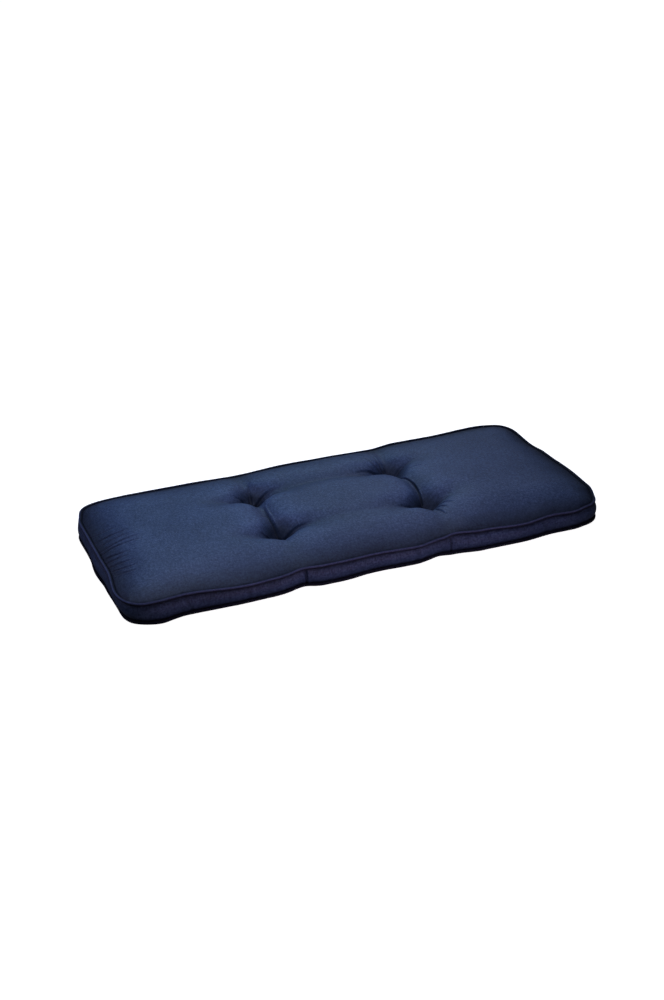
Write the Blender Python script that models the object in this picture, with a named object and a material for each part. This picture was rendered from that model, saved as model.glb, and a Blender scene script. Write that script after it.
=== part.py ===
"""A bench cushion: one filled body with four tufts, and a welt sewn into its top and bottom seams.

Metres. X runs along the bench, Y from the front to the back, Z up. The cushion lies on z = 0,
with the middle of its box over the origin.
"""

import math

import bmesh
import bpy
from mathutils import Vector

MM = 0.001

# Cover, measured between the centre lines of the welts
LENGTH = 1.20
DEPTH = 0.50
CORNER = 0.10              # how far the rounding of a corner reaches along each side
CORNER_POWER = 3.3         # superellipse power of that rounding
TOP_SEAM = 0.0515          # height of the top welt's centre line
LOW_SEAM = 0.007           # height of the bottom welt's centre line
LOW_OUT = 0.003            # the bottom seam lies this far outside the top one

# Welt: a cord in a bias strip of the cover cloth, held by a stitch line beside it
WELT_RADIUS = 0.0037
STITCH_IN = 0.0037         # the stitch line lies this far inside the welt's centre line
STITCH_OFF = 0.0025        # and this far towards the boxing

# Filling
EDGE_RISE = 0.021          # rise of the top panel in the first CORNER from its seam
EDGE_POWER = 2.1
BELLY = 0.015              # further rise towards the middle
BULGE = 0.0065             # the boxing swells this far outside the welts
ROLL = 0.030               # the bottom panel rolls up to its seam over this width
ROLL_POWER = 2.4
TUFT_FLOOR = 0.030         # height of the bottom of a pit in the top
UNDER_ROOF = 0.016         # height of the roof of a pit in the underside
UNDER_REACH = 0.045        # radius of a pit in the underside
CUSP = 2.5                 # how sharply the cloth folds at the bottom of a pit or a valley

# Mesh lines: their distance from the edge, and from a tuft's column or row
EDGE_STEPS = (0.0, 0.008, 0.018, 0.033, 0.053, 0.075, CORNER)
TUFT_STEPS = (0.0, 0.010, 0.024, 0.042)
WIDEST_STEP = 0.0255
CLOSEST_STEP = 0.003
TUFT_COLUMN = 0.186
TUFT_ROW = 0.092

# Mesh rows of the boxing, from the bottom stitch line to the top one: share of the height
# between them, and how far the cloth stands outside the welts
#    height  out
BOXING_ROWS = (
    (0.00, -STITCH_IN),
    (0.14, 0.27 * BULGE),
    (0.38, 0.94 * BULGE),
    (0.62, 1.00 * BULGE),
    (0.86, 0.30 * BULGE),
    (1.00, -STITCH_IN),
)

# Tufts: place, and the radius of the pit that each pulls into the top panel
#     x       y      reach
TUFTS = (
    (-0.190, 0.096, 0.064),
    (-0.188, -0.087, 0.064),
    (0.178, 0.091, 0.064),
    (0.188, -0.098, 0.064),
)

# Where the filling is heaped: place, reach, and how far it lifts the top panel
#     x       y      reach  lift
HEAPS = (
    (-0.480, 0.190, 0.140, 0.006),
    (-0.300, -0.020, 0.160, 0.003),
    (0.020, 0.010, 0.150, 0.003),
    (0.360, 0.020, 0.200, 0.002),
)

# Valleys of the top panel: two ends, sideways bow, share of the height that is lost at the
# start, the middle and the end, and half width
#     x0      y0      x1      y1      bow   start  middle end   width
VALLEYS = (
    (-0.190, 0.096, -0.188, -0.087, 0.003, 0.80, 0.42, 0.85, 0.046),
    (0.178, 0.091, 0.188, -0.098, 0.012, 0.80, 0.42, 0.85, 0.046),
    (-0.190, 0.096, 0.178, 0.091, 0.002, 0.80, 0.26, 0.80, 0.054),
    (-0.188, -0.087, 0.188, -0.098, 0.008, 0.75, 0.08, 0.75, 0.050),
    (-0.190, 0.096, -0.340, 0.094, -0.012, 0.75, 0.30, 0.00, 0.050),
    (-0.188, -0.087, -0.320, -0.088, 0.016, 0.75, 0.28, 0.00, 0.050),
    (0.178, 0.091, 0.310, 0.105, 0.004, 0.75, 0.24, 0.00, 0.048),
    (0.188, -0.098, 0.320, -0.092, 0.000, 0.75, 0.24, 0.00, 0.048),
    (-0.190, 0.096, -0.180, 0.250, 0.004, 0.60, 0.26, 0.28, 0.056),
    (0.178, 0.091, 0.190, 0.250, 0.004, 0.60, 0.30, 0.28, 0.056),
    (-0.188, -0.087, -0.190, -0.250, 0.004, 0.65, 0.14, 0.22, 0.050),
    (0.188, -0.098, 0.183, -0.250, 0.004, 0.65, 0.16, 0.25, 0.050),
)

# How the seams wander, in millimetres: each row is the crest or the hollow of one scallop.
# along is X on the front and back, and Y on the ends. out is away from the middle.
#    side     along  top_out top_up low_out low_up
SCALLOPS = (
    ("front", -0.585, 0.0, 1.5, -1.5, 0.0),
    ("front", -0.530, -2.0, 3.0, 4.0, 0.0),
    ("front", -0.470, -6.0, 3.0, -4.0, 1.0),
    ("front", -0.320, 5.0, -3.0, 0.5, 0.0),
    ("front", -0.250, 3.0, -2.0, 0.0, 0.0),
    ("front", -0.190, -4.0, 3.0, -8.0, 3.0),
    ("front", -0.145, -1.0, 1.0, 0.0, 0.5),
    ("front", -0.095, 0.0, 0.5, 1.0, 0.0),
    ("front", -0.020, -2.0, 0.0, -4.0, 1.0),
    ("front", 0.095, 5.0, -1.5, 0.5, 0.0),
    ("front", 0.150, -2.0, 1.0, -8.0, 2.0),
    ("front", 0.190, -7.5, 4.0, -3.5, 0.5),
    ("front", 0.260, -1.0, 0.0, 6.0, 0.0),
    ("front", 0.370, 7.0, -3.5, 9.5, 0.0),
    ("front", 0.450, 2.0, 0.5, 3.5, 0.0),
    ("front", 0.510, 4.5, -2.0, 5.5, 0.0),
    ("front", 0.555, 1.5, 1.0, 2.0, 0.0),
    ("right", -0.225, -2.0, 0.0, -1.0, 0.0),
    ("right", -0.165, 5.0, 4.0, 1.0, 0.0),
    ("right", -0.080, 6.0, 5.0, 3.0, 0.0),
    ("right", 0.035, 2.0, 2.5, 0.0, 0.0),
    ("right", 0.110, -4.0, -1.0, -2.0, 0.0),
    ("back", 0.570, 1.0, 0.0, 1.0, 0.0),
    ("back", 0.500, 3.0, 2.0, 2.0, 0.0),
    ("back", 0.370, 0.0, 0.0, 1.0, 0.0),
    ("back", 0.260, 0.0, 1.5, 0.0, 0.0),
    ("back", 0.195, -5.0, -1.5, -5.0, 1.0),
    ("back", 0.060, 0.5, -1.0, 2.0, 0.0),
    ("back", -0.050, 1.0, 0.5, 2.0, 0.0),
    ("back", -0.178, -6.0, -1.0, -5.0, 1.0),
    ("back", -0.320, 0.0, 0.0, 1.0, 0.0),
    ("back", -0.460, 2.0, 0.0, 1.0, 0.0),
    ("back", -0.585, -2.5, -0.5, -3.0, 0.0),
    ("left", 0.210, -4.0, 0.0, -3.0, 0.0),
    ("left", 0.165, 2.0, 0.0, 2.0, 0.0),
    ("left", 0.065, 0.0, 0.0, -0.5, 0.0),
    ("left", 0.000, -1.5, 0.0, 4.0, 0.0),
    ("left", -0.080, -4.0, 0.0, -2.0, 0.0),
    ("left", -0.175, 4.0, 0.0, -6.0, 0.0),
)

# Tucks where the boxing is drawn in beside the tufts: depth is the share of the bulge lost
#    side     along  depth half_width
TUCKS = (
    ("front", -0.187, 0.90, 0.024),
    ("front", 0.182, 0.90, 0.026),
    ("back", -0.180, 0.70, 0.026),
    ("back", 0.192, 0.70, 0.026),
)

HALF_LENGTH = LENGTH / 2
HALF_DEPTH = DEPTH / 2
GIRTH = 2 * (LENGTH + DEPTH)


def ease(t):
    return t * t * (3 - 2 * t)


# ---------------------------------------------------------------- the cut of the cover

def mesh_lines(half, tuft):
    """Where the mesh lines cross one half, and its mirror: close at the edge and at the tuft."""
    fixed = {half - step for step in EDGE_STEPS}
    for step in TUFT_STEPS:
        fixed |= {tuft - step, tuft + step}
    lines = [0.0]
    for line in sorted(fixed):
        start = lines[-1]
        gap = line - start
        if gap > CLOSEST_STEP:
            count = math.ceil(gap / WIDEST_STEP)
            lines += [start + gap * k / count for k in range(1, count + 1)]
    return [-line for line in reversed(lines[1:])] + lines


def corner_shares(a, b):
    """How far a point of the flat rectangle reaches into the corner zones, from 0 to 1."""
    p = (abs(a) - HALF_LENGTH + CORNER) / CORNER
    q = (abs(b) - HALF_DEPTH + CORNER) / CORNER
    return max(0.0, p), max(0.0, q)


def edge_point(a, b):
    """The point of the flat rectangle's edge on the same ray as (a, b)."""
    p, q = corner_shares(a, b)
    if p >= q:
        along = b if q == 0 else math.copysign(HALF_DEPTH - CORNER + CORNER * q / p, b)
        return math.copysign(HALF_LENGTH, a), along
    along = a if p == 0 else math.copysign(HALF_LENGTH - CORNER + CORNER * p / q, a)
    return along, math.copysign(HALF_DEPTH, b)


def rounded(a, b):
    """Plan position of a point of the flat rectangle, and the outward direction of its edge."""
    p, q = corner_shares(a, b)
    if p == 0 and q == 0:
        return Vector((a, b)), Vector((0.0, 0.0))
    if p == 0:
        return Vector((a, b)), Vector((0.0, math.copysign(1.0, b)))
    if q == 0:
        return Vector((a, b)), Vector((math.copysign(1.0, a), 0.0))
    eighth = math.pi / 4
    angle = eighth * q / p if p >= q else 2 * eighth - eighth * p / q
    across, deep = math.cos(angle), math.sin(angle)
    size = (across ** CORNER_POWER + deep ** CORNER_POWER) ** (1 / CORNER_POWER)
    across, deep = across / size, deep / size
    reach = CORNER * max(p, q)
    place = Vector((
        math.copysign(HALF_LENGTH - CORNER + reach * across, a),
        math.copysign(HALF_DEPTH - CORNER + reach * deep, b),
    ))
    outward = Vector((
        math.copysign(across ** (CORNER_POWER - 1), a),
        math.copysign(deep ** (CORNER_POWER - 1), b),
    ))
    return place, outward.normalized()


def side_and_place(edge):
    if abs(edge[1]) >= HALF_DEPTH:
        return ("back" if edge[1] > 0 else "front"), edge[0]
    return ("right" if edge[0] > 0 else "left"), edge[1]


def way_round(side, along):
    """Distance round the flat rectangle, anticlockwise from the front left corner."""
    if side == "front":
        return HALF_LENGTH + along
    if side == "right":
        return LENGTH + HALF_DEPTH + along
    if side == "back":
        return LENGTH + DEPTH + HALF_LENGTH - along
    return 2 * LENGTH + DEPTH + HALF_DEPTH - along


def scallop(edge):
    """top_out, top_up, low_out and low_up of the seams at an edge point, in metres."""
    knots = sorted((way_round(row[0], row[1]), row[2:]) for row in SCALLOPS)
    knots.append((knots[0][0] + GIRTH, knots[0][1]))
    here = way_round(*side_and_place(edge))
    if here < knots[0][0]:
        here += GIRTH
    spans = zip(knots, knots[1:])
    (start, first), (end, second) = next(span for span in spans if here <= span[1][0])
    t = ease((here - start) / (end - start))
    return [MM * (x + (y - x) * t) for x, y in zip(first, second)]


def left_by_tucks(edge):
    """Share of the boxing's bulge that the tucks leave at an edge point."""
    here, along = side_and_place(edge)
    left = 1.0
    for side, place, depth, half_width in TUCKS:
        if side == here:
            left *= 1 - depth * max(0.0, 1 - abs(along - place) / half_width) ** 2
    return left


# ---------------------------------------------------------------- the form of the filling

def lost_in_valley(point, valley):
    """Share of the height that a valley takes away at a plan point."""
    x0, y0, x1, y1, bow, start, middle, end, width = valley
    run = Vector((x1 - x0, y1 - y0))
    reach = point - Vector((x0, y0))
    s = max(0.0, min(1.0, reach.dot(run) / run.length_squared))
    outward = Vector((run.y, -run.x)).normalized()
    if outward.dot(Vector((x0 + x1, y0 + y1))) < 0:
        outward = -outward
    line = run * s + outward * (4 * bow * s * (1 - s))
    deep = start * (1 - s) * (1 - 2 * s) + 4 * middle * s * (1 - s) + end * s * (2 * s - 1)
    return max(0.0, deep) * max(0.0, 1 - (reach - line).length / width) ** CUSP


def top_height(point, share, seam_up):
    """Height of the top panel at a plan point. share is 0 in the middle and 1 at the seam."""
    across, deep = point.x / HALF_LENGTH, point.y / HALF_DEPTH
    full = TOP_SEAM + seam_up
    full += EDGE_RISE * (1 - share ** EDGE_POWER)
    full += BELLY * max(0.0, (1 - deep ** 2) * (1 - across ** 4))
    for x, y, reach, lift in HEAPS:
        away = min(1.0, (point - Vector((x, y))).length / reach)
        full += lift * (1 - ease(away)) * (1 - share ** 2)
    left = 1.0
    for x, y, reach in TUFTS:
        left *= 1 - max(0.0, 1 - (point - Vector((x, y))).length / reach) ** CUSP
    for valley in VALLEYS:
        left *= 1 - lost_in_valley(point, valley)
    floor = TUFT_FLOOR + (TOP_SEAM - TUFT_FLOOR) * share
    return floor + (full - floor) * left


def under_height(point, share, seam_up):
    """Height of the bottom panel: flat, rolled up at its seam, and pulled in at the tufts."""
    roll = max(0.0, 1 - (1 - share) * CORNER / ROLL)
    height = (LOW_SEAM - STITCH_OFF + seam_up) * roll ** ROLL_POWER
    for x, y, _ in TUFTS:
        away = (point - Vector((x, y))).length
        height = max(height, UNDER_ROOF * max(0.0, 1 - away / UNDER_REACH) ** 2)
    return height


def body_point(a, b, row):
    """Place of a mesh point. row is 1 on the top panel, 0 on the bottom one, between on the boxing."""
    place, outward = rounded(a, b)
    edge = edge_point(a, b)
    share = max(corner_shares(a, b))
    top_out, top_up, low_out, low_up = [way * share ** 2 for way in scallop(edge)]
    low_out += LOW_OUT * share ** 2
    if share < 1 and row == 1:
        place += outward * top_out
        return Vector((*place, top_height(place, share, top_up)))
    if share < 1:
        place += outward * low_out
        return Vector((*place, under_height(place, share, low_up)))
    low = LOW_SEAM + STITCH_OFF + low_up
    high = TOP_SEAM - STITCH_OFF + top_up
    stand = dict(BOXING_ROWS)[row]
    if stand > 0:
        stand *= left_by_tucks(edge)
    place += outward * (low_out + (top_out - low_out) * row + stand)
    return Vector((*place, low + (high - low) * row))


# ---------------------------------------------------------------- the pieces

def new_object(name, data, material, collection):
    part = bpy.data.objects.new(name, data)
    part.data.materials.append(material)
    collection.objects.link(part)
    return part


def cushion_body(material, collection):
    """A block cut along its mesh lines, with every point then moved to its place."""
    bm = bmesh.new()
    bmesh.ops.create_cube(bm, size=1.0)
    bmesh.ops.translate(bm, vec=(0, 0, 0.5), verts=bm.verts)
    bmesh.ops.scale(bm, vec=(LENGTH, DEPTH, 1.0), verts=bm.verts)
    cuts = [((x, 0, 0), (1, 0, 0)) for x in mesh_lines(HALF_LENGTH, TUFT_COLUMN)]
    cuts += [((0, y, 0), (0, 1, 0)) for y in mesh_lines(HALF_DEPTH, TUFT_ROW)]
    cuts += [((0, 0, height), (0, 0, 1)) for height, _ in BOXING_ROWS]
    for place, normal in cuts:
        geometry = bm.verts[:] + bm.edges[:] + bm.faces[:]
        bmesh.ops.bisect_plane(bm, geom=geometry, dist=1e-6, plane_co=place, plane_no=normal)
    for vert in bm.verts:
        vert.co = body_point(*(round(value, 6) for value in vert.co))
    bmesh.ops.triangulate(bm, faces=bm.faces[:], quad_method="SHORT_EDGE")
    mesh = bpy.data.meshes.new("cushion_body")
    bm.to_mesh(mesh)
    bm.free()
    mesh.shade_smooth()
    return new_object("cushion_body", mesh, material, collection)


def seam_ring():
    """The points of the flat rectangle's edge on the mesh lines, in order."""
    columns = mesh_lines(HALF_LENGTH, TUFT_COLUMN)
    rows = mesh_lines(HALF_DEPTH, TUFT_ROW)
    ring = [(x, -HALF_DEPTH) for x in columns[:-1]]
    ring += [(HALF_LENGTH, y) for y in rows[:-1]]
    ring += [(x, HALF_DEPTH) for x in reversed(columns[1:])]
    ring += [(-HALF_LENGTH, y) for y in reversed(rows[1:])]
    return ring


def welt(name, on_top, material, collection):
    """A closed round cord along the top or the bottom seam."""
    curve = bpy.data.curves.new(name, "CURVE")
    curve.dimensions = "3D"
    curve.bevel_depth = WELT_RADIUS
    curve.bevel_resolution = 2
    ring = seam_ring()
    spline = curve.splines.new("POLY")
    spline.points.add(len(ring) - 1)
    spline.use_cyclic_u = True
    for knot, (a, b) in zip(spline.points, ring):
        place, outward = rounded(a, b)
        top_out, top_up, low_out, low_up = scallop(edge_point(a, b))
        if on_top:
            knot.co = (*(place + outward * top_out), TOP_SEAM + top_up, 1.0)
        else:
            knot.co = (*(place + outward * (low_out + LOW_OUT)), LOW_SEAM + low_up, 1.0)
    return new_object(name, curve, material, collection)


def cloth(name, colour, roughness):
    material = bpy.data.materials.new(name)
    material.use_nodes = True
    shader = material.node_tree.nodes["Principled BSDF"]
    shader.inputs["Base Color"].default_value = (*colour, 1.0)
    shader.inputs["Roughness"].default_value = roughness
    shader.inputs["Metallic"].default_value = 0.0
    return material


def centre_over_origin(parts):
    """Moves the parts together so that the middle of their box is over the origin."""
    graph = bpy.context.evaluated_depsgraph_get()
    meshes = [part.evaluated_get(graph).to_mesh() for part in parts]
    for axis in (0, 1):
        values = [vert.co[axis] for mesh in meshes for vert in mesh.vertices]
        middle = (min(values) + max(values)) / 2
        for part in parts:
            part.location[axis] = -middle


def main():
    for old in list(bpy.data.objects):
        bpy.data.objects.remove(old)
    collection = bpy.data.collections.new("bench_cushion")
    bpy.context.scene.collection.children.link(collection)
    navy = (0.035, 0.057, 0.125)
    dark_navy = (0.022, 0.028, 0.060)
    centre_over_origin([
        cushion_body(cloth("cover_cloth", navy, 0.9), collection),
        welt("top_piping", True, cloth("top_welt_cloth", dark_navy, 0.9), collection),
        welt("bottom_piping", False, cloth("bottom_welt_cloth", dark_navy, 0.9), collection),
    ])


main()
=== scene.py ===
"""The looks of a piped, tufted bench cushion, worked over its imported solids. Metres, +Z up."""

import math

import bmesh
import bpy
from mathutils import Matrix, Vector, noise
from mathutils.bvhtree import BVHTree
from mathutils.kdtree import KDTree


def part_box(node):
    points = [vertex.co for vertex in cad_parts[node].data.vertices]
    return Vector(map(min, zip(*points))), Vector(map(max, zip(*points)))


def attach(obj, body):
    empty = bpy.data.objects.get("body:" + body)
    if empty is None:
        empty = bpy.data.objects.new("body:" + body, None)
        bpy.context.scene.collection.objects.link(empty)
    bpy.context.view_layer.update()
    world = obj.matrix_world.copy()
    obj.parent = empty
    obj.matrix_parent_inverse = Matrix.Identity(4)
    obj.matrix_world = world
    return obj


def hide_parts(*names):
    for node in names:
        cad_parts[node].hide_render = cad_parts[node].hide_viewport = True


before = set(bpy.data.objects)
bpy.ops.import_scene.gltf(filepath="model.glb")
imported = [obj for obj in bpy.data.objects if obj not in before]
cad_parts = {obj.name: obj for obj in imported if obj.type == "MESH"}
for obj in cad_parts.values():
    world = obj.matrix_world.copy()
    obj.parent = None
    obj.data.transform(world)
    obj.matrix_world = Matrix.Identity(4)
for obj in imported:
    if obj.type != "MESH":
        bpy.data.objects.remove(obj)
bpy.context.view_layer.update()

# ---------------------------------------------------------------- the camera
# A photographer's view from 1.6 m up, 2.6 m in front of the cushion and a metre to its left,
# with the camera tipped down onto it.
EYE = Vector((-1.0998, -2.6047, 1.6051))
AHEAD = Vector((0.33639, 0.81146, -0.47788))
LEAN = math.radians(-0.478)
LENS = 47.62               # millimetres

lens = bpy.data.cameras.new("camera")
lens.lens = LENS
camera = bpy.data.objects.new("camera", lens)
bpy.context.scene.collection.objects.link(camera)
aim = AHEAD.to_track_quat("-Z", "Y").to_matrix().to_4x4()
camera.matrix_world = Matrix.Translation(EYE) @ aim @ Matrix.Rotation(LEAN, 4, "Z")
bpy.context.scene.camera = camera

# ---------------------------------------------------------------- the filled cushion
# A cover of heathered navy upholstery cloth, cut as two panels and a boxing strip, round a fibre
# filling. Four threads are pulled right through it and knotted, so the cloth folds in to them.
MM = 0.001
WELD = 0.01 * MM
GRID = 75 * MM             # spacing of the mesh lines on the flat of the underside
SEWN_REACH = 7 * MM        # cloth this close to a seam's centre line is held by its stitches
KNOT_REACH = 9 * MM        # cloth this close to a tuft is held by its thread
SEAT = 1.5 * MM            # cloth lower than this lies on the seat
MIDDLE = 20 * MM           # cloth higher than this belongs to the cushion's upper half
ABOVE = 200 * MM           # a height well above the cushion, to look down from
TUFT_X = (0.10, 0.30)      # a tuft lies between these distances from the middle, along and across
TUFT_Y = (0.04, 0.15)
LEVEL = 0.3                # cloth counts as a panel's where its normal's z is more than this
PRESSURE = 4.0
SETTLING = 20              # frames of the simulation
MOST_SWELL = 2.0 * MM      # no point of the cover moves further than this
SEAM_STEP = 3 * MM         # from one point of a seam's line to the next


def only(piece):
    """Leaves one piece selected and active, so that an operator acts on nothing else."""
    bpy.ops.object.select_all(action="DESELECT")
    piece.select_set(True)
    bpy.context.view_layer.objects.active = piece


def finish_modifier(piece, modifier):
    only(piece)
    bpy.ops.object.modifier_apply(modifier=modifier.name)


def smooth_once(piece):
    """Splits every face of a piece in four, on a smooth surface."""
    modifier = piece.modifiers.new("smooth", "SUBSURF")
    modifier.levels = 1
    modifier.render_levels = 1
    modifier.boundary_smooth = "PRESERVE_CORNERS"
    finish_modifier(piece, modifier)


def centre_line(node):
    """The middle of a sewn-in cord's solid: one point for each of its rings, in order."""
    mesh = bmesh.new()
    mesh.from_mesh(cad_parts[node].data)
    bmesh.ops.remove_doubles(mesh, verts=mesh.verts, dist=WELD)
    narrow = 3.6 * MM                # the edges round a ring are shorter than this
    ring_of = {}
    rings = []
    for start in mesh.verts:
        if start in ring_of:
            continue
        ring = [start]
        ring_of[start] = len(rings)
        for vert in ring:
            for edge in vert.link_edges:
                other = edge.other_vert(vert)
                if edge.calc_length() < narrow and other not in ring_of:
                    ring_of[other] = len(rings)
                    ring.append(other)
        rings.append(ring)
    links = {k: set() for k in range(len(rings))}
    for edge in mesh.edges:
        a, b = (ring_of[vert] for vert in edge.verts)
        if a != b:
            links[a].add(b)
            links[b].add(a)
    middles = [sum((vert.co for vert in ring), Vector()) / len(ring) for ring in rings]
    order = [0]
    while True:
        ahead = [k for k in links[order[-1]] if k not in order[-2:] and k not in order[1:]]
        ahead = [k for k in ahead if k != 0 or len(order) > 2]
        if not ahead or ahead[0] == 0:
            break
        order.append(ahead[0])
    mesh.free()
    line = [middles[k] for k in order]
    area = sum(a.x * b.y - b.x * a.y for a, b in zip(line, line[1:] + line[:1]))
    return line if area > 0 else line[::-1]


def between(p0, p1, p2, p3, t):
    """The point a share t of the way from p1 to p2, on a smooth curve through all four."""
    return 0.5 * (2 * p1 + (p2 - p0) * t + (2 * p0 - 5 * p1 + 4 * p2 - p3) * t ** 2
                  + (3 * p1 - p0 - 3 * p2 + p3) * t ** 3)


def faired(points, step):
    """A smooth closed line through the points, with a point about every step."""
    line = []
    count = len(points)
    for k in range(count):
        p0, p1, p2, p3 = (points[(k + j) % count] for j in (-1, 0, 1, 2))
        pieces = max(1, round((p2 - p1).length / step))
        line += [between(p0, p1, p2, p3, j / pieces) for j in range(pieces)]
    return line


def finder(points):
    """A search tree over points."""
    tree = KDTree(len(points))
    for index, point in enumerate(points):
        tree.insert(point, index)
    tree.balance()
    return tree


top_seam = faired(centre_line("top_piping"), SEAM_STEP)
low_seam = faired(centre_line("bottom_piping"), SEAM_STEP)
near_top_seam = finder(top_seam)
near_low_seam = finder(low_seam)

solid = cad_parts["cushion_body"]
cushion = bpy.data.objects.new("cushion", solid.data.copy())
bpy.context.scene.collection.objects.link(cushion)
cushion.data.materials.clear()


def regridded(mesh):
    """Welds the solid's triangles to quads, and cuts its flat underside into a grid."""
    bmesh.ops.remove_doubles(mesh, verts=mesh.verts, dist=WELD)
    flat = [face for face in mesh.faces if max(abs(vert.co.z) for vert in face.verts) < WELD]
    inner = [edge for edge in mesh.edges if all(face in flat for face in edge.link_faces)]
    round_faces = [face for face in mesh.faces if face not in flat]
    bmesh.ops.join_triangles(mesh, faces=round_faces, angle_face_threshold=math.pi,
                             angle_shape_threshold=math.pi)
    verts = list({vert for face in flat for vert in face.verts})
    bmesh.ops.dissolve_limit(mesh, angle_limit=math.radians(0.1), verts=[], edges=inner)
    low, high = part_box("cushion_body")
    for axis in (0, 1):
        count = math.ceil((high[axis] - low[axis]) / GRID)
        normal = Vector((1, 0, 0)) if axis == 0 else Vector((0, 1, 0))
        for k in range(1, count):
            flat = [face for face in mesh.faces
                    if max(abs(vert.co.z) for vert in face.verts) < WELD]
            parts = set(flat)
            for face in flat:
                parts.update(face.edges)
                parts.update(face.verts)
            place = low + (high - low) * (k / count)
            bmesh.ops.bisect_plane(mesh, geom=list(parts), dist=MM, plane_co=place,
                                   plane_no=normal)


mesh = bmesh.new()
mesh.from_mesh(cushion.data)
regridded(mesh)
pits = []
for right in (-1, 1):
    for back in (-1, 1):
        quarter = [vert for vert in mesh.verts if TUFT_X[0] < vert.co.x * right < TUFT_X[1]
                   and TUFT_Y[0] < vert.co.y * back < TUFT_Y[1]]
        above = [vert for vert in quarter if vert.normal.z > LEVEL]
        below = [vert for vert in quarter if vert.normal.z < -LEVEL]
        pits.append(min(above, key=lambda vert: vert.co.z).co.copy())
        pits.append(max(below, key=lambda vert: vert.co.z).co.copy())
mesh.to_mesh(cushion.data)
mesh.free()
near_pit = finder(pits)
crease = cushion.data.attributes.new("crease_vert", "FLOAT", "POINT")
for vert in cushion.data.vertices:
    if near_pit.find(vert.co)[2] < MM:
        crease.data[vert.index].value = 1.0
smooth_once(cushion)

held = cushion.vertex_groups.new(name="held")
for vert in cushion.data.vertices:
    seam = min(near_top_seam.find(vert.co)[2], near_low_seam.find(vert.co)[2])
    knot = near_pit.find(vert.co)[2]
    if seam < SEWN_REACH or knot < KNOT_REACH or vert.co.z < SEAT:
        held.add([vert.index], 1.0, "REPLACE")
before = [vert.co.copy() for vert in cushion.data.vertices]
cloth = cushion.modifiers.new("cloth", "CLOTH")
cloth.settings.quality = 5
cloth.settings.mass = 0.3
cloth.settings.tension_stiffness = 15
cloth.settings.compression_stiffness = 15
cloth.settings.shear_stiffness = 5
cloth.settings.bending_stiffness = 0.5
cloth.settings.use_pressure = True
cloth.settings.uniform_pressure_force = PRESSURE
cloth.settings.vertex_group_mass = "held"
cloth.settings.effector_weights.gravity = 0
cloth.collision_settings.use_self_collision = False
for moment in range(1, SETTLING + 1):
    bpy.context.scene.frame_set(moment)
finish_modifier(cushion, cloth)
bpy.context.scene.frame_set(1)
cushion.vertex_groups.clear()
for vert, start in zip(cushion.data.vertices, before):
    moved = vert.co - start
    if moved.length > MOST_SWELL:
        vert.co = start + moved * (MOST_SWELL / moved.length)

smooth_once(cushion)

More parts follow.
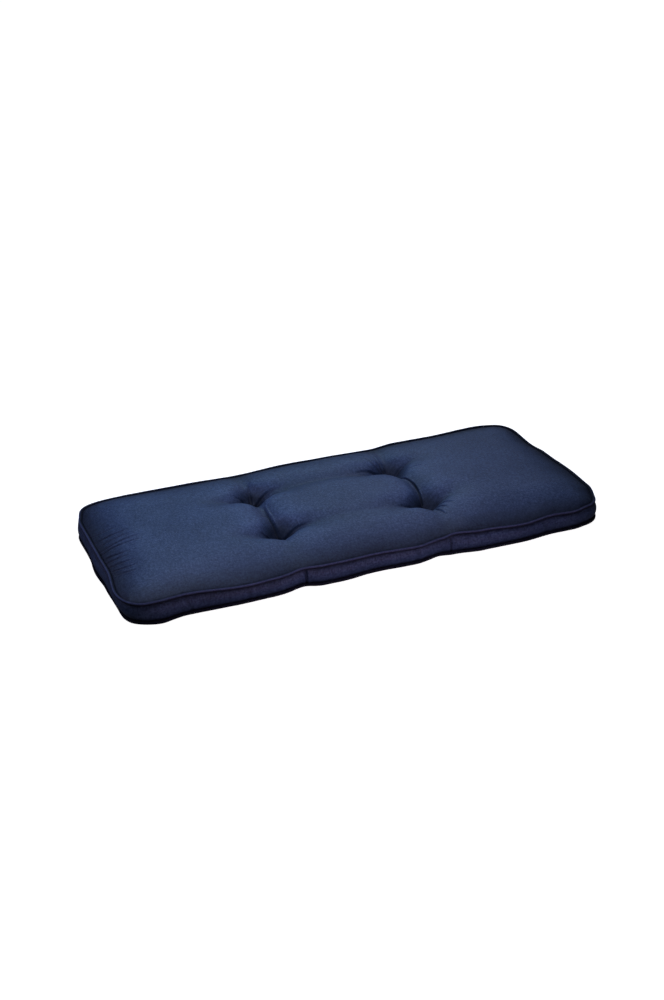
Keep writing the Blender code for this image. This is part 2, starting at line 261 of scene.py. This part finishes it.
# Folds of the top panel, as the cloth is pulled to the tufts and gathered at the left end. A row
# has the line's points (x, y), the trough's half width and depth and the height of its lips, all in
# millimetres, and the share of the depth at its start, middle and end. A negative depth is a ridge.
TOP_FOLDS = (
    # the crease between the left tufts, and the ridge beside it
    (((-187, 26), (-190, -8), (-189, -42), (-186, -74)), 2.4, 3.4, 0.2, (0.2, 1.1, 0.4)),
    (((-180, 38), (-183, 2), (-182, -36), (-179, -66)), 2.6, -1.9, 0.0, (0.0, 1.2, 0.1)),
    # the curved crease between the right tufts
    (((170, 72), (190, 52), (198, 8), (196, -30), (190, -70)), 2.4, 4.5, 1.0, (0.1, 1.0, 0.8)),
    # from the tufts to the left, along the seats of the front and back lobes
    (((-194, 98), (-225, 92), (-262, 86)), 4.0, 4.0, 0.8, (1.0, 0.7, 0.0)),
    (((-193, 103), (-215, 110), (-240, 112)), 2.8, 3.4, 0.8, (1.0, 0.6, 0.0)),
    (((-192, -88), (-228, -104), (-272, -106)), 4.0, 3.6, 0.8, (1.0, 0.7, 0.0)),
    (((-192, -82), (-216, -82), (-244, -80)), 2.8, 3.2, 0.8, (1.0, 0.6, 0.0)),
    # from the tufts to the right, behind the middle lobe and in front of it
    (((-186, 101), (-150, 110), (-105, 112)), 4.5, 3.6, 0.6, (1.0, 0.7, 0.0)),
    (((-183, -83), (-145, -82), (-105, -86)), 4.5, 3.2, 0.6, (1.0, 0.7, 0.0)),
    (((172, 97), (135, 108), (85, 110)), 4.0, 4.0, 0.6, (1.0, 0.8, 0.0)),
    (((182, -95), (150, -92), (110, -92)), 4.0, 3.4, 0.6, (1.0, 0.7, 0.0)),
    (((182, 96), (216, 104), (258, 106)), 4.5, 3.0, 0.6, (1.0, 0.6, 0.0)),
    (((192, -95), (228, -94), (268, -102)), 4.5, 3.2, 0.6, (1.0, 0.6, 0.0)),
    # from the tufts to the back and front seams
    (((-191, 106), (-186, 135), (-180, 168)), 3.6, 2.4, 0.8, (1.0, 0.5, 0.0)),
    (((176, 103), (167, 132), (164, 158), (160, 186)), 2.8, 3.0, 0.8, (0.8, 0.8, 0.3)),
    (((171, 106), (150, 130), (128, 186)), 3.8, 2.4, 0.8, (0.6, 0.8, 0.2)),
    (((-189, -95), (-190, -130), (-192, -160)), 3.6, 2.0, 0.6, (1.0, 0.5, 0.0)),
    (((187, -102), (184, -130), (182, -160)), 3.6, 2.0, 0.6, (1.0, 0.4, 0.0)),
    # short tucks of cloth beside the right tufts
    (((214, 66), (236, 60), (258, 56)), 2.2, 2.0, 0.8, (0.0, 1.0, 0.0)),
    (((196, -104), (206, -128), (218, -152)), 2.4, 2.8, 1.0, (0.5, 1.2, 0.1)),
    (((202, -102), (220, -122), (240, -140)), 2.4, 2.6, 1.0, (0.5, 1.2, 0.1)),
    (((190, -108), (194, -140), (200, -178)), 2.6, 2.4, 1.0, (0.5, 1.2, 0.1)),
    # the fan of fine wrinkles at the left end
    (((-596, 84), (-560, 80), (-528, 74)), 3.0, 1.6, 0.6, (0.4, 1.0, 0.0)),
    (((-594, 54), (-556, 52), (-512, 46)), 2.8, 3.4, 0.9, (0.6, 1.0, 0.0)),
    (((-592, 33), (-552, 32), (-505, 28)), 2.8, 2.4, 0.8, (0.5, 1.0, 0.0)),
    (((-594, 11), (-550, 12), (-494, 8)), 2.8, 3.8, 1.0, (0.6, 1.0, 0.0)),
    (((-594, -2), (-556, -2), (-492, -12)), 2.8, 3.4, 0.9, (0.6, 1.0, 0.0)),
    (((-594, -24), (-566, -33), (-536, -42)), 2.8, 3.2, 0.9, (0.6, 1.0, 0.0)),
    (((-593, -43), (-566, -50), (-540, -56)), 2.8, 2.6, 0.8, (0.6, 1.0, 0.0)),
    (((-592, -64), (-566, -72), (-534, -80)), 2.8, 2.2, 0.7, (0.5, 1.0, 0.0)),
    (((-588, -86), (-560, -98), (-532, -106)), 2.8, 1.9, 0.7, (0.4, 1.0, 0.0)),
    (((-586, -108), (-560, -118), (-536, -126)), 2.8, 1.7, 0.6, (0.4, 1.0, 0.0)),
)

# Folds of the boxing, from the top seam down to the bottom one: the side (-1 front, 1 back), x at
# the top and at the bottom, then half width, depth and lips as above. All have the same shares.
BOXING_FOLDS = (
    (-1, -188, -184, 3.0, 4.0, 1.0),
    (-1, 180, 182, 3.0, 4.0, 1.0),
    (-1, -470, -452, 5.0, 1.2, 0.6),
    (-1, -330, -318, 6.0, 1.0, 0.4),
    (-1, 96, 86, 6.0, 1.0, 0.5),
    (-1, 420, 436, 6.0, 1.2, 0.5),
    (1, -182, -178, 3.0, 3.2, 0.8),
    (1, 190, 192, 3.0, 3.2, 0.8),
    (1, -420, -410, 6.0, 1.0, 0.4),
    (1, 30, 20, 6.0, 1.0, 0.4),
)
BOXING_SHARES = (0.7, 1.0, 0.6)
FOLD_STEP = 2 * MM
FOLD_REACH = 2.9           # a fold reaches this many half widths to each side
LIP_PLACE = 1.7            # its lips stand this many half widths from its middle, and are this wide
LIP_WIDTH = 0.6
NARROW = 2.9 * MM          # a fold with a smaller half width than this needs finer faces, and they
FINER_FOLD = 0.6           # fill this share of its reach, and this share of a pit
FINER_PIT = 0.8
UNDERSIDE = -0.75          # cloth has no folds where its normal's z is less than this
PIT_WIDE = 20 * MM
PIT_DEEPER = 9 * MM        # how much further the tufts are pulled in than in the solid
GATHER_DEPTH = 0.7 * MM    # the sewing gathers the cloth by this much beside a seam
GATHER_REACH = 13 * MM
GATHER_PITCH = 12 * MM
LUMP_HEIGHT = 0.5 * MM     # unevenness of the filling
LUMP_PITCH = 45 * MM


def curve_through(points, step):
    """A smooth open line through the points."""
    points = [2 * points[0] - points[1], *points, 2 * points[-1] - points[-2]]
    line = []
    for p0, p1, p2, p3 in zip(points, points[1:], points[2:], points[3:]):
        pieces = max(1, round((p2 - p1).length / step))
        line += [between(p0, p1, p2, p3, j / pieces) for j in range(pieces + 1)]
    return line


def lines_of_folds():
    """Every fold as (search tree, line, half width, depth, lips, shares), laid on the cover."""
    cover = BVHTree.FromObject(cushion, bpy.context.evaluated_depsgraph_get())
    rows = []
    for points, *form, shares in TOP_FOLDS:
        flat = curve_through([Vector((x * MM, y * MM, ABOVE)) for x, y in points], FOLD_STEP)
        line = [cover.ray_cast(point, Vector((0, 0, -1)))[0] for point in flat]
        rows.append((line, form, shares))
    for side, high_x, low_x, *form in BOXING_FOLDS:
        ends = [min(seam, key=lambda point: abs(point.x - x * MM) - side * point.y)
                for seam, x in ((top_seam, high_x), (low_seam, low_x))]
        straight = curve_through(ends, FOLD_STEP)
        line = [cover.find_nearest(point)[0] for point in straight]
        rows.append((line, form, BOXING_SHARES))
    return [(finder(line), line, *[size * MM for size in form], shares)
            for line, form, shares in rows]


def beside(line, tree, point):
    """How far a point is from a line, and the share of the line that lies before it."""
    index = tree.find(point)[1]
    nearest = (1.0, 0.0)
    for k in (index - 1, index):
        if 0 <= k < len(line) - 1:
            run = line[k + 1] - line[k]
            if run.length_squared == 0:
                continue
            t = max(0.0, min(1.0, (point - line[k]).dot(run) / run.length_squared))
            away = (point - line[k] - run * t).length
            nearest = min(nearest, (away, (k + t) / (len(line) - 1)))
    return nearest


def split_near(mesh, folds, reach, pit_reach):
    """Splits the faces beside some folds and the pits, and eases the new points onto the curve."""
    def close(point):
        if near_pit.find(point)[2] < pit_reach and point.z > MIDDLE:
            return True
        return any(tree.find(point)[2] < reach * half for tree, _, half, *_ in folds)
    faces = [face for face in mesh.faces if close(face.calc_center_median())]
    edges = list({edge for face in faces for edge in face.edges})
    bmesh.ops.subdivide_edges(mesh, edges=edges, cuts=1, smooth=1.0, use_grid_fill=True)
    mesh.normal_update()


def fold_height(point):
    """How far the folds lift or lower the cloth at a point."""
    lift = 0.0
    for tree, line, half, deep, lip, (start, middle, end) in folds:
        if tree.find(point)[2] > FOLD_REACH * half:
            continue
        away, s = beside(line, tree, point)
        away /= half
        share = start * (1 - s) * (1 - 2 * s) + 4 * middle * s * (1 - s) + end * s * (2 * s - 1)
        share = max(0.0, share)
        lift -= deep * share * math.exp(-away ** 2)
        lift += lip * share * math.exp(-((away - LIP_PLACE) / LIP_WIDTH) ** 2)
    return lift


def gathered(point):
    """How far the sewing lifts or lowers the cloth beside a seam."""
    lift = 0.0
    for seam, tree, seed in ((top_seam, near_top_seam, 0.0), (low_seam, near_low_seam, 9.0)):
        _, index, away = tree.find(point)
        if away < 3 * GATHER_REACH:
            along = index * SEAM_STEP / GATHER_PITCH
            wave = noise.noise(Vector((along, away / (4 * GATHER_REACH), seed)))
            lift += 2 * GATHER_DEPTH * wave * math.exp(-away / GATHER_REACH)
    return lift


folds = lines_of_folds()
mesh = bmesh.new()
mesh.from_mesh(cushion.data)
split_near(mesh, folds, FOLD_REACH, PIT_WIDE)
narrow_folds = [fold for fold in folds if fold[2] < NARROW]
split_near(mesh, narrow_folds, FINER_FOLD * FOLD_REACH, FINER_PIT * PIT_WIDE)
folded = mesh.verts.layers.float.new("folded")
moves = []
for vert in mesh.verts:
    if vert.co.z < SEAT:
        continue
    if vert.normal.z > UNDERSIDE:
        vert[folded] = fold_height(vert.co)
    lift = vert[folded] + gathered(vert.co) + LUMP_HEIGHT * noise.noise(vert.co / LUMP_PITCH)
    move = vert.normal * lift
    closeness = 1 - near_pit.find(vert.co)[2] / PIT_WIDE
    if closeness > 0 and vert.normal.z > 0:
        move.z -= PIT_DEEPER * closeness ** 2
    moves.append((vert, move))
for vert, move in moves:
    vert.co += move
mesh.to_mesh(cushion.data)
mesh.free()

# The cloth's own coordinates, in metres: the panels flat, the boxing by its way round and height.
UV_APART = 2.0             # keeps the panels and the boxing apart, so that no yarn runs on
PANEL_REACH = 30 * MM      # cloth further than this from both seams is a panel's
SEAM_PLAY = 3 * MM         # cloth this little below the top seam can still be the top panel's


def way_round(point):
    """Distance along the top seam to the place beside a point."""
    index = near_top_seam.find(point)[1]
    ahead = (top_seam[(index + 1) % len(top_seam)] - top_seam[index - 1]).normalized()
    return index * SEAM_STEP + (point - top_seam[index]).dot(ahead)


def panel(middle, normal):
    """Which piece of cloth a face belongs to."""
    top, _, to_top = near_top_seam.find(middle)
    low, _, to_low = near_low_seam.find(middle)
    inside = middle.xy.length < top.xy.length and abs(normal.z) > LEVEL
    on_top = inside and middle.z > top.z - SEAM_PLAY
    if min(to_top, to_low) > PANEL_REACH or on_top or middle.z < low.z:
        return "top" if normal.z > 0 else "under"
    return "boxing"


cloth_map = cushion.data.uv_layers.new(name="cloth")
girth = len(top_seam) * SEAM_STEP
for face in cushion.data.polygons:
    part = panel(face.center, face.normal)
    start = way_round(face.center)
    for loop in face.loop_indices:
        point = cushion.data.vertices[cushion.data.loops[loop].vertex_index].co
        if part == "boxing":
            along = way_round(point)
            along += girth * round((start - along) / girth)
            cloth_map.data[loop].uv = (along, point.z + UV_APART)
        elif part == "top":
            cloth_map.data[loop].uv = (point.x, point.y)
        else:
            cloth_map.data[loop].uv = (point.x, point.y - UV_APART)


# Some of the photograph's shade is kept in the cloth's own colour: beside its seams, in its folds
# and pits and the hollows between the lobes, and towards the bottom of the boxing. The amounts were
# fitted to the photograph together with the lamps, and then adjusted. Hollows and pits are
# shaded on the top panel alone.
SEAM_SHADE = 0.6           # how much darker the panels are in the middle of the band at a seam
SEAM_SHADE_MIDDLE = 12 * MM
SEAM_SHADE_SPREAD = 35 * MM
HOLLOW_REACH = 60 * MM     # a hollow is told from the cloth this far around it,
HOLLOW_WAYS = 8            # in this many directions
HOLLOW_SHADE = 28.0        # how much darker the cloth is for each metre of a hollow's depth
HOLLOW_SHARES = (0.45, 1.25)       # the least share left in a hollow, and the most on a crown: painted shade in hollows, painted light on crowns
FOLD_SHADE = 125.0         # how much darker it is for each metre of a fold's depth, and lighter for each metre of its lips' height: painted shade and painted light
FOLD_SHARE = 0.3           # the least share left in a fold
# The boxing's colour has painted light across its middle and painted shade towards both seams, most
# at the bottom one.
BOXING_SHARE = 1.2         # share in the middle of the boxing
BOXING_SHADE = 0.35        # how much darker than that it is at both its seams
BOXING_FOOT = 0.35         # and the share of it that is left at the bottom seam
GROOVE_EDGE = 3.7 * MM     # the stitched groove beside a welt, from the seam's centre line; painted shade fills it
GROOVE_REACH = 3.5 * MM
GROOVE_SHADE = 0.75
# how dark a pit is, over which distance, and how far behind the tuft, where the photograph is dark
PIT_SHADES = ((0.6, 28 * MM, 26 * MM), (0.75, 10 * MM, 4 * MM))
cover = BVHTree.FromObject(cushion, bpy.context.evaluated_depsgraph_get())


def hollow(point):
    """How much lower the top panel is at a point than around it."""
    around = []
    for k in range(HOLLOW_WAYS):
        turn = 2 * math.pi * (k + 0.25) / HOLLOW_WAYS
        start = point + Vector((math.cos(turn), math.sin(turn), 0)) * HOLLOW_REACH
        hit = cover.ray_cast(Vector((start.x, start.y, ABOVE)), Vector((0, 0, -1)))[0]
        around.append(hit.z if hit else point.z)
    return sum(around) / len(around) - point.z


def cloth_shade(point, normal, folded):
    """The share of the cloth's colour that is left at a point, which a fold moved by folded:
    painted shade below one, painted light above it.
    """
    part = panel(point, normal)
    top, _, to_top = near_top_seam.find(point)
    low, _, to_low = near_low_seam.find(point)
    if part == "boxing":
        height = max(0.0, min(1.0, (point.z - low.z) / (top.z - low.z)))
        share = BOXING_SHARE * (1 - BOXING_SHADE * (2 * height - 1) ** 2)
        share *= min(1.0, BOXING_FOOT + 2 * height)
    else:
        away = abs((to_top if part == "top" else to_low) - SEAM_SHADE_MIDDLE)
        share = 1 - SEAM_SHADE * math.exp(-away / SEAM_SHADE_SPREAD)
    if part == "top":
        least, most = HOLLOW_SHARES
        share *= max(least, min(most, 1 - HOLLOW_SHADE * hollow(point)))
        for dark, reach, behind in PIT_SHADES:
            away = near_pit.find(point - Vector((0, behind, 0)))[2]
            share *= 1 - dark * math.exp(-(away / reach) ** 2)
    away = max(0.0, min(to_top, to_low) - GROOVE_EDGE)
    share *= 1 - GROOVE_SHADE * math.exp(-(away / GROOVE_REACH) ** 2)
    return share * max(FOLD_SHARE, 1 + FOLD_SHADE * folded)


shades = cushion.data.attributes.new("cloth_shade", "FLOAT", "POINT")
folded = cushion.data.attributes["folded"]
for vert in cushion.data.vertices:
    share = cloth_shade(vert.co, vert.normal, folded.data[vert.index].value)
    shades.data[vert.index].value = share


class Tone:
    """A socket of a shader, which takes sums as plain Python does."""

    tree = None

    def __init__(self, socket):
        self.socket = socket

    @classmethod
    def node(cls, kind, settings=None, output=0, **values):
        """Adds a node: settings are its own values, and values are its sockets' by name."""
        made = cls.tree.nodes.new("ShaderNode" + kind)
        for name, value in (settings or {}).items():
            if name == "stops":
                cls.set_stops(made.color_ramp, value)
            else:
                setattr(made, name, value)
        for name, value in values.items():
            key = int(name[1:]) if name[0] == "i" and name[1:].isdigit() else name.replace("_", " ")
            socket = made.inputs[key]
            if isinstance(value, Tone):
                cls.tree.links.new(value.socket, socket)
            else:
                socket.default_value = value
        return Tone(made.outputs[output])

    @staticmethod
    def set_stops(ramp, stops):
        while len(ramp.elements) < len(stops):
            ramp.elements.new(0.5)
        for element, (position, shade) in zip(ramp.elements, stops):
            element.position = position
            element.color = shade

    def math(self, operation, other=None):
        values = {"i0": self} if other is None else {"i0": self, "i1": other}
        return Tone.node("Math", {"operation": operation}, **values)

    def __add__(self, other):
        return self.math("ADD", other)

    def __sub__(self, other):
        return self.math("SUBTRACT", other)

    def __mul__(self, other):
        return self.math("MULTIPLY", other)

    def __rsub__(self, other):
        return Tone.node("Math", {"operation": "SUBTRACT"}, i0=other, i1=self)

    __radd__ = __add__
    __rmul__ = __mul__


def new_cloth(name):
    """An empty fabric material, whose tree the next nodes go into."""
    material = bpy.data.materials.new(name)
    material.use_nodes = True
    Tone.tree = material.node_tree
    return material, material.node_tree.nodes["Principled BSDF"]


def feed(shader, socket, value):
    if isinstance(value, Tone):
        Tone.tree.links.new(value.socket, shader.inputs[socket])
    else:
        shader.inputs[socket].default_value = value


def shaded(colour):
    """A colour, times the share of it that is left at each point of the piece: painted shade and
    painted light.
    """
    share = Tone.node("Attribute", {"attribute_name": "cloth_shade"}, output="Fac")
    return Tone.node("Mix", {"data_type": "RGBA", "blend_type": "MULTIPLY"}, output=2,
                     i0=1.0, i6=colour, i7=share)


YARN = 1.1 * MM            # from one yarn to the next
SLUB = 16 * MM             # length over which a yarn keeps its shade
CROSSING = 0.3             # how softly one yarn passes under the next
WEAVE_CONTRAST = 1.15
FLECK_CONTRAST = 1.1
PATCH_CONTRAST = 0.35
NAVY_DEEP = (0.017, 0.029, 0.066, 1.0)
NAVY = (0.035, 0.060, 0.124, 1.0)
NAVY_PALE = (0.072, 0.110, 0.200, 1.0)


def woven(yarn, turned=0.0):
    """Plain weave on the piece's own cloth coordinates: shade from 0 to 1, and height."""
    cloth = Tone.node("UVMap", {"uv_map": "cloth"})
    cloth = Tone.node("Mapping", Vector=cloth, Rotation=(0, 0, turned))
    split = Tone.node("SeparateXYZ", i0=cloth)
    across, along = split, Tone(split.socket.node.outputs[1])
    warp = Tone.node("TexNoise", {"noise_dimensions": "2D"}, Scale=1.0, Detail=1.0,
                     Vector=Tone.node("CombineXYZ", X=across * (1 / yarn), Y=along * (1 / SLUB)))
    weft = Tone.node("TexNoise", {"noise_dimensions": "2D"}, Scale=1.0, Detail=1.0,
                     Vector=Tone.node("CombineXYZ", X=across * (1 / SLUB), Y=along * (1 / yarn)))
    over = (across * (math.pi / yarn)).math("SINE") * (along * (math.pi / yarn)).math("SINE")
    mask = Tone.node("MapRange", i0=over, i1=-CROSSING, i2=CROSSING)
    shade = mask * warp + (1 - mask) * weft
    return shade, over.math("ABSOLUTE")


cover_cloth, shader = new_cloth("cover_cloth")
place = Tone.node("TexCoord", output="Object")
shade, height = woven(YARN)
fleck = Tone.node("TexNoise", Vector=place, Scale=210.0, Detail=2.0)
patch = Tone.node("TexNoise", Vector=place, Scale=11.0, Detail=2.0)
depth = ((shade - 0.5) * WEAVE_CONTRAST + (fleck - 0.5) * FLECK_CONTRAST
         + (patch - 0.5) * PATCH_CONTRAST + 0.5)
colour = Tone.node("ValToRGB", {"stops": ((0.15, NAVY_DEEP), (0.5, NAVY), (0.85, NAVY_PALE))},
                   Fac=depth)
feed(shader, "Base Color", shaded(colour))
bump = Tone.node("Bump", Height=height * 0.8 + fleck * 0.5, Strength=0.5, Distance=0.35 * MM)
feed(shader, "Normal", bump)
shader.inputs["Roughness"].default_value = 0.5
shader.inputs["Specular IOR Level"].default_value = 0.3
cushion.data.materials.append(cover_cloth)
cushion.data.shade_smooth()
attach(cushion, "root")
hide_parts("cushion_body")

# ---------------------------------------------------------------- the welts
# A 7 mm cord wrapped in a bias strip of the cover's cloth. One is caught in the seam between the
# top panel and the boxing, the other between the boxing and the bottom panel. Their cloth's colour
# also keeps some of the photograph's shade: painted shade all round, and a painted highlight along
# the upper outer line.
WELT_RADIUS = 3.7 * MM
WELT_SIDES = 16
WELT_UNEVEN = 0.25 * MM    # how far the cord and its wrapping swell and shrink along the way
WELT_UNEVEN_PITCH = 22 * MM
WELT_DRAWN = 3.5 * MM      # how far the wrapping is drawn out into the seam
WELT_DRAWN_NARROW = 8      # the higher, the narrower is what is drawn out
BIAS = math.radians(45)    # the strip is cut across the weave
HIGHLIGHT_TURN = math.radians(45)      # the turn of the painted highlight, from straight out
HIGHLIGHT_NARROW = 3           # the higher, the narrower is the painted highlight
WELT_DEEP = (0.022, 0.027, 0.056, 1)
WELT = (0.042, 0.050, 0.094, 1)
WELT_PALE = (0.070, 0.082, 0.140, 1)

welt_cloth, shader = new_cloth("welt_cloth")
shade, height = woven(YARN, BIAS)
colour = Tone.node("ValToRGB", {"stops": ((0.2, WELT_DEEP), (0.5, WELT), (0.8, WELT_PALE))},
                   Fac=shade)
feed(shader, "Base Color", shaded(colour))
feed(shader, "Normal", Tone.node("Bump", Height=height, Strength=0.5, Distance=0.3 * MM))
shader.inputs["Roughness"].default_value = 0.7
shader.inputs["Specular IOR Level"].default_value = 0.1


def welt(name, node, seam, stitch, shade_share, highlight_share):
    """A closed cord along a seam. stitch is the turn of its stitch line, from straight out, and the
    shares are what is left of the cloth's colour, as painted shade, off its painted highlight and
    on it."""
    mesh = bmesh.new()
    shares = mesh.verts.layers.float.new("cloth_shade")
    cloth_map = mesh.loops.layers.uv.new("cloth")
    count = len(seam)
    rings = []
    for k, middle in enumerate(seam):
        ahead = (seam[(k + 1) % count] - seam[k - 1]).normalized()
        outward = ahead.cross(Vector((0, 0, 1))).normalized()
        upward = outward.cross(ahead)
        ring = []
        for j in range(WELT_SIDES):
            turn = 2 * math.pi * j / WELT_SIDES
            way = outward * math.cos(turn) + upward * math.sin(turn)
            swell = noise.noise((middle + way * WELT_RADIUS * 2) / WELT_UNEVEN_PITCH)
            drawn = max(0.0, math.cos(turn - stitch)) ** WELT_DRAWN_NARROW
            reach = WELT_RADIUS + WELT_UNEVEN * swell + WELT_DRAWN * drawn
            ring.append(mesh.verts.new(middle + way * reach))
            # a painted highlight along the upper outer line, over painted shade elsewhere
            highlight = max(0.0, math.cos(turn - HIGHLIGHT_TURN)) ** HIGHLIGHT_NARROW
            ring[-1][shares] = shade_share + (highlight_share - shade_share) * highlight
        rings.append(ring)
    for k in range(count):
        ring, after = rings[k], rings[(k + 1) % count]
        for j in range(WELT_SIDES):
            i = (j + 1) % WELT_SIDES
            face = mesh.faces.new((ring[j], after[j], after[i], ring[i]))
            corners = ((k, j), (k + 1, j), (k + 1, j + 1), (k, j + 1))
            for loop, (a, b) in zip(face.loops, corners):
                loop[cloth_map].uv = (a * SEAM_STEP, b * 2 * math.pi * WELT_RADIUS / WELT_SIDES)
    bmesh.ops.recalc_face_normals(mesh, faces=mesh.faces)
    data = bpy.data.meshes.new(name)
    mesh.to_mesh(data)
    mesh.free()
    data.shade_smooth()
    data.materials.append(welt_cloth)
    piece = bpy.data.objects.new(name, data)
    bpy.context.scene.collection.objects.link(piece)
    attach(piece, "root")
    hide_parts(node)


# The top welt gets a strong painted highlight; the bottom one is painted shade nearly all round.
welt("top_welt", "top_piping", top_seam, math.radians(214), 0.2, 1.7)
welt("bottom_welt", "bottom_piping", low_seam, math.radians(146), 0.2, 0.3)

# ---------------------------------------------------------------- the tuft stitches
# The thread of each tuft shows as one short navy loop at the bottom of its pit, above and below.
# It is a waxed twine, which the knots pull into the cloth.
LOOP_RADIUS = 3.2 * MM
TWINE_RADIUS = 0.9 * MM
LOOP_SHOWS = 1.3 * MM      # how far a loop's middle stands out of the cloth
TWINE_TURN = 2.4 * MM      # length of one turn of the twine's strands
PIT_FLOOR = 4 * MM         # cloth this close to a tuft is the floor of its pit
TWINE_DEEP = (0.008, 0.011, 0.026, 1)
TWINE_PALE = (0.022, 0.030, 0.060, 1)
LOOP_WAYS = (20, 75, -35, 60, 110, 10, 50, -20)     # degrees, the way that each loop lies

twine, shader = new_cloth("tuft_twine")
place = Tone.node("TexCoord", output="Object")
strands = Tone.node("TexWave", {"bands_direction": "DIAGONAL"}, Vector=place,
                    Scale=1 / (TWINE_TURN * math.pi))
colour = Tone.node("ValToRGB", {"stops": ((0.0, TWINE_DEEP), (1.0, TWINE_PALE))}, Fac=strands)
feed(shader, "Base Color", colour)
feed(shader, "Normal", Tone.node("Bump", Height=strands, Strength=0.6, Distance=0.2 * MM))
shader.inputs["Roughness"].default_value = 0.6

loops = []
for pit, way in zip(pits, LOOP_WAYS):
    above = pit.z > MIDDLE
    beside_pit = [vert.co for vert in cushion.data.vertices
                  if (vert.co - pit).xy.length < PIT_FLOOR and (vert.co.z > MIDDLE) == above]
    bottom = min(beside_pit, key=lambda co: co.z) if above else max(beside_pit, key=lambda co: co.z)
    outward = 1 if above else -1
    middle = bottom + Vector((0, 0, outward * (LOOP_SHOWS - LOOP_RADIUS - TWINE_RADIUS)))
    bpy.ops.object.select_all(action="DESELECT")
    bpy.ops.mesh.primitive_torus_add(major_radius=LOOP_RADIUS, minor_radius=TWINE_RADIUS,
                                     major_segments=24, minor_segments=10, location=middle,
                                     rotation=(math.radians(90), 0, math.radians(way)))
    loop = bpy.context.object
    bpy.ops.object.transform_apply(location=True, rotation=True, scale=True)
    bpy.ops.object.mode_set(mode="EDIT")
    bpy.ops.mesh.select_all(action="SELECT")
    bpy.ops.mesh.bisect(plane_co=middle, plane_no=(0, 0, outward), use_fill=True,
                        clear_inner=True)
    bpy.ops.object.mode_set(mode="OBJECT")
    loops.append(loop)
only(loops[0])
for loop in loops:
    loop.select_set(True)
bpy.ops.object.join()
stitches = bpy.context.object
stitches.name = "tuft_stitches"
stitches.data.materials.append(twine)
stitches.data.shade_smooth()
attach(stitches, "root")

# ---------------------------------------------------------------- the floor and the light
# A white floor and backdrop that glow evenly, a soft key light high behind the cushion, weaker ones
# to each side and above it, and a low strip in front, as a pale floor throws light on the boxing.
# The lamps are tinted: their places, strengths and tints were fitted to the photograph.
FLOOR_WIDE = 60
BACKDROP_RADIUS = 25
bpy.context.scene.view_settings.view_transform = "Standard"
bpy.ops.mesh.primitive_plane_add(size=FLOOR_WIDE, location=(0, 0, 0))
floor = bpy.context.object
floor.name = "floor"
paper = bpy.data.materials.new("paper")
paper.use_nodes = True
white = paper.node_tree.nodes["Principled BSDF"]
white.inputs["Base Color"].default_value = (0.8, 0.8, 0.8, 1)
white.inputs["Roughness"].default_value = 1.0
white.inputs["Emission Color"].default_value = (1, 1, 1, 1)
white.inputs["Emission Strength"].default_value = 1.0
floor.data.materials.append(paper)
bpy.ops.mesh.primitive_uv_sphere_add(segments=48, ring_count=24, radius=BACKDROP_RADIUS)
backdrop = bpy.context.object
backdrop.name = "backdrop"
backdrop.data.materials.append(paper)
backdrop.visible_shadow = False
for sheet in (floor, backdrop):
    sheet.visible_diffuse = False
    sheet.visible_glossy = False

world = bpy.data.worlds.new("studio")
world.use_nodes = True
bpy.context.scene.world = world
air = world.node_tree.nodes["Background"]
air.inputs["Color"].default_value = (0.85, 0.85, 1.0, 1)
air.inputs["Strength"].default_value = 0.05

# name, place, aim, size, watts, colour
LAMPS = (
    ("key", (0.4, 2.2, 1.8), (0.1, 0.0, 0.05), 0.6, 0.4, 8.9, (0.63, 1.0, 0.97)),
    ("side_right", (1.2, 1.6, 1.2), (0.1, 0.0, 0.05), 0.6, 0.4, 4.2, (0.61, 0.68, 1.0)),
    ("side_left", (-1.5, 0.5, 0.6), (-0.5, 0.0, 0.03), 0.6, 0.2, 2.0, (0.58, 0.56, 1.0)),
    ("over_left", (-0.45, 0.0, 0.7), (-0.42, 0.0, 0.05), 0.4, 0.2, 2.3, (0.55, 0.64, 1.0)),
    ("over_right", (0.3, 0.0, 0.7), (0.24, 0.0, 0.05), 0.6, 0.2, 1.6, (0.58, 0.64, 1.0)),
    ("low_strip", (0.0, -0.62, 0.12), (0.0, -0.25, 0.03), 0.9, 0.1, 0.66, (0.99, 0.69, 1.0)),
)
for name, stand, target, wide, high, watts, tint in LAMPS:
    lamp = bpy.data.lights.new(name, "AREA")
    lamp.shape = "RECTANGLE"
    lamp.size = wide
    lamp.size_y = high
    lamp.energy = watts
    lamp.color = tint
    box = bpy.data.objects.new(name, lamp)
    bpy.context.scene.collection.objects.link(box)
    box.location = stand
    box.rotation_euler = (Vector(target) - Vector(stand)).to_track_quat("-Z", "Y").to_euler()
    box.visible_camera = False
